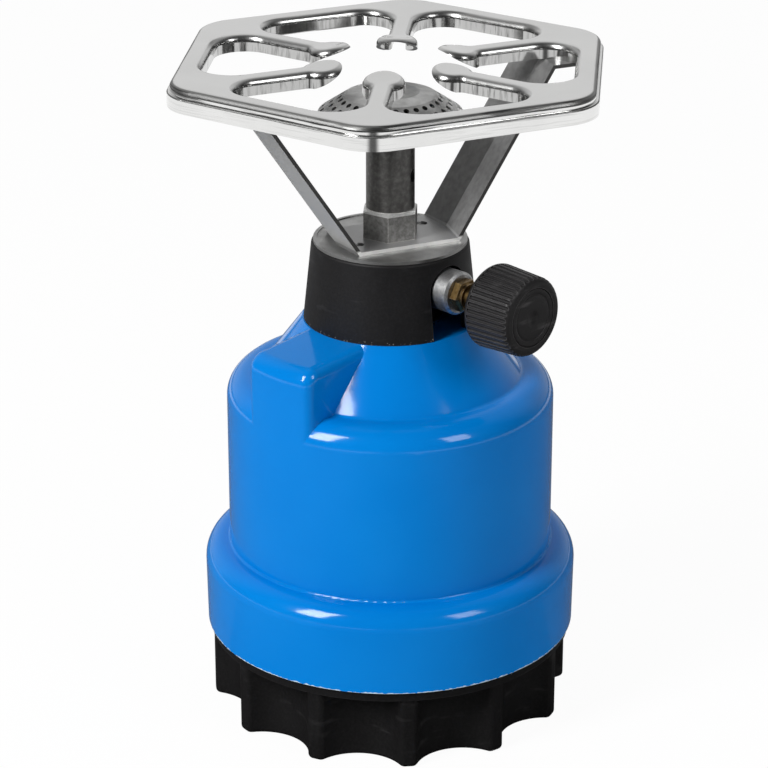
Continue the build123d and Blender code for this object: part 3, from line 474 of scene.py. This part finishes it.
# painted shade and painted dark reflection in the bends
lay_over("nickel_plate", (off_wall, off_flat, bend_shade_share), "#4C4C4B")
unpolished = add(tree, "MapRange", {0: slant, 1: 0.995, 2: 0.90}).outputs[0]
in_bend = add(tree, "Math", {0: off_wall, 1: unpolished}, operation="MULTIPLY").outputs[0]
dullness = add(tree, "MapRange", {0: outer, 3: LIP_DULLNESS, 4: RIM_DULLNESS}).outputs[0]
roughness = tree.nodes["Principled BSDF"].inputs["Roughness"]
polished = roughness.links[0].from_socket
rough = add(tree, "Math", {0: in_bend, 1: dullness, 2: polished}, operation="MULTIPLY_ADD")
tree.links.new(rough.outputs[0], roughness)

# %% [markdown]
# The strip of the bracket was cut after plating. The cut edges of its arms are laid darker, and those of
# its foot bright, which is a painted highlight. A cut edge looks across the strip, so its mask compares the
# normal with that direction. The front arm is laid lighter as painted light, and the rear arm darker in
# patches as painted shade.

# %% Bracket
STRIP_ACROSS = radians(-21)
ARM_START = 1.6 * MM
FOOT_TOP = 1.3 * MM

strip_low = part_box("support_bracket")[0].z
tree, place, height, noise = open_finish("zinc_plate", 2 * MM)
on_arm = add(tree, "Math", {0: height, 1: strip_low + ARM_START}, operation="GREATER_THAN").outputs[0]
on_foot = add(tree, "Math", {0: height, 1: strip_low + FOOT_TOP}, operation="LESS_THAN").outputs[0]
depth = add(tree, "SeparateXYZ", {0: place}).outputs["Y"]
at_front = add(tree, "Math", {0: depth, 1: 0.0}, operation="LESS_THAN").outputs[0]
at_rear = add(tree, "Math", {0: 1.0, 1: at_front}, operation="SUBTRACT").outputs[0]
rear_shade_patches = add(tree, "MapRange", {0: noise, 1: 0.36, 2: 0.66, 3: 0.4, 4: 0.7}).outputs[0]
# painted light: the front arm is laid lighter
lay_over("zinc_plate", (on_arm, at_front, 0.7), "#DCDCDB")
# painted shade: the rear arm is laid darker, in patches
lay_over("zinc_plate", (on_arm, at_rear, rear_shade_patches), "#6E6D6C")

normal = add(tree, "NewGeometry", {}).outputs["Normal"]
strip_side = (cos(STRIP_ACROSS), sin(STRIP_ACROSS), 0)
across = add(tree, "VectorMath", {0: normal, 1: strip_side}, operation="DOT_PRODUCT").outputs["Value"]
square = add(tree, "Math", {0: across}, operation="ABSOLUTE").outputs[0]
cut = add(tree, "MapRange", {0: square, 1: 0.90, 2: 0.97}).outputs[0]
lay_over("zinc_plate", (cut, on_arm), "#454443")
# painted highlight along the cut edges of the foot
lay_over("zinc_plate", (cut, on_foot), "#F0F0EE")

# %% [markdown]
# Above its hexagon the burner tube is laid darker, a painted shade under the burner head. The hexagon keeps
# its pale plating, and a pale band round its top is a painted highlight. The foot of the collar has been
# rubbed to pale specks against the lacquer.

# %% Burner tube and collar
HEXAGON_HEIGHT = 8.6 * MM
METAL_SHARE_PLATED = 0.5
METAL_SHARE_TUBE = 0.75
EDGE_BAND = 0.5 * MM

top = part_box("burner_tube")[0].z + HEXAGON_HEIGHT
tree, _, height, noise = open_finish("burner_steel", 1.4 * MM)
tube_shade = add(tree, "MapRange", {0: height, 1: top, 2: top + 0.4 * MM, 3: 0.0, 4: 0.9}).outputs[0]
flecked = add(tree, "MapRange", {0: noise, 1: 0.40, 2: 0.62, 3: 1.0, 4: 0.7}).outputs[0]
at_top = add(tree, "Math", {0: height, 1: top - 0.4 * MM, 2: EDGE_BAND}, operation="COMPARE").outputs[0]
# painted shade on the tube above the hexagon
lay_over("burner_steel", (tube_shade, flecked), "#5C5B59")
# painted highlight: a pale band round the top of the hexagon
lay_over("burner_steel", (at_top, flecked), "#F2F2F0")
metal = add(
    tree, "MapRange", {0: height, 1: top, 2: top + 0.2 * MM, 3: METAL_SHARE_PLATED, 4: METAL_SHARE_TUBE}
)
tree.links.new(metal.outputs[0], tree.nodes["Principled BSDF"].inputs["Metallic"])

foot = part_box("neck_collar")[0].z
tree, _, height, noise = open_finish("base_plastic", 0.8 * MM)
at_foot = add(tree, "Math", {0: height, 1: foot + EDGE_BAND, 2: EDGE_BAND}, operation="COMPARE").outputs[0]
specks = add(tree, "MapRange", {0: noise, 1: 0.62, 2: 0.70}).outputs[0]
lay_over("base_plastic", (at_foot, specks), "#8C8A88")

# %% [markdown]
# The seals are nitrile rubber: nearly black, dull, with a bloom of pale dust in patches.

# %% Seal rubber
material, tree, shader, place = start_material("nitrile_rubber", Metallic=0.0, IOR=1.52)
bloom = add(tree, "TexNoise", {"Vector": place, "Scale": 1 / (2.5 * MM), "Detail": 5.0})
colour = add(
    tree, "Mix", {0: bloom.outputs["Fac"], 6: linear("#141414"), 7: linear("#2C2B2A")}, data_type="RGBA"
)
gloss = add(tree, "MapRange", {0: bloom.outputs["Fac"], 1: 0.3, 2: 0.7, 3: 0.62, 4: 0.85})
tree.links.new(colour.outputs[2], shader.inputs["Base Color"])
tree.links.new(gloss.outputs[0], shader.inputs["Roughness"])
finishes["rubber"] = material
print(material.name)

# %% [markdown]
# The record names the finish of every node, so the parts are dressed by that list. The dish alone gets
# its own version of the plating, because the heat of the burner above has dulled it.

# %% Dressing the parts
for part in frame["record"]["subparts"]:
    mesh = nodes[part["node"]].data
    mesh.materials.clear()
    mesh.materials.append(finishes[part["material_slot"]])
nodes["top_dish"].data.materials[0] = finishes["dish_plate"]

# %% [markdown]
# The cap of the knob is a disc that the solids keep plain. The real one has a rounded rim, a fine groove
# inside it and a soft hollow at its middle. Such a turned shape is easiest as a profile, a short list of
# radius and depth below the face, that is repeated round the valve's axis as rings of points. It replaces
# the plain disc and turns with the knob.

# %% Knob cap
CAP_STEPS = 96
CAP_PROFILE = (
    (8.60, 1.20), (8.60, 0.30), (8.54, 0.12), (8.40, 0.03), (8.20, 0.00), (7.30, 0.00), (7.18, 0.03),
    (7.08, 0.09), (7.00, 0.18), (6.90, 0.21), (6.76, 0.20), (6.62, 0.13), (6.40, 0.08), (5.60, 0.05),
    (4.20, 0.02), (2.60, 0.02), (2.10, 0.06), (1.70, 0.16), (1.20, 0.32), (0.70, 0.43), (0.25, 0.46),
)

cap_low, cap_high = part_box("knob_cap")
cap_y = (cap_low.y + cap_high.y) / 2
cap_z = (cap_low.z + cap_high.z) / 2
turns = [2 * pi * step / CAP_STEPS for step in range(CAP_STEPS)]
shape = bmesh.new()
rings = []
for radius, depth in CAP_PROFILE:
    x = cap_high.x - depth * MM
    rings.append([
        shape.verts.new((x, cap_y + radius * MM * cos(turn), cap_z + radius * MM * sin(turn)))
        for turn in turns
    ])
for wide, narrow in zip(rings, rings[1:]):
    for step in range(CAP_STEPS):
        follow = (step + 1) % CAP_STEPS
        shape.faces.new((wide[step], wide[follow], narrow[follow], narrow[step]))
shape.faces.new(rings[0][::-1])
shape.faces.new(rings[-1])
for face in shape.faces:
    face.smooth = len(face.verts) == 4
bmesh.ops.recalc_face_normals(shape, faces=shape.faces)
cap_mesh = bpy.data.meshes.new("knob_cap_disc")
shape.to_mesh(cap_mesh)
shape.free()
cap_mesh.materials.append(finishes["knob_plastic"])
knob_cap_disc = bpy.data.objects.new("knob_cap_disc", cap_mesh)
bpy.context.scene.collection.objects.link(knob_cap_disc)
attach(knob_cap_disc, "knob")
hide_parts("knob_cap")
print("knob cap of", len(cap_mesh.vertices), "points")
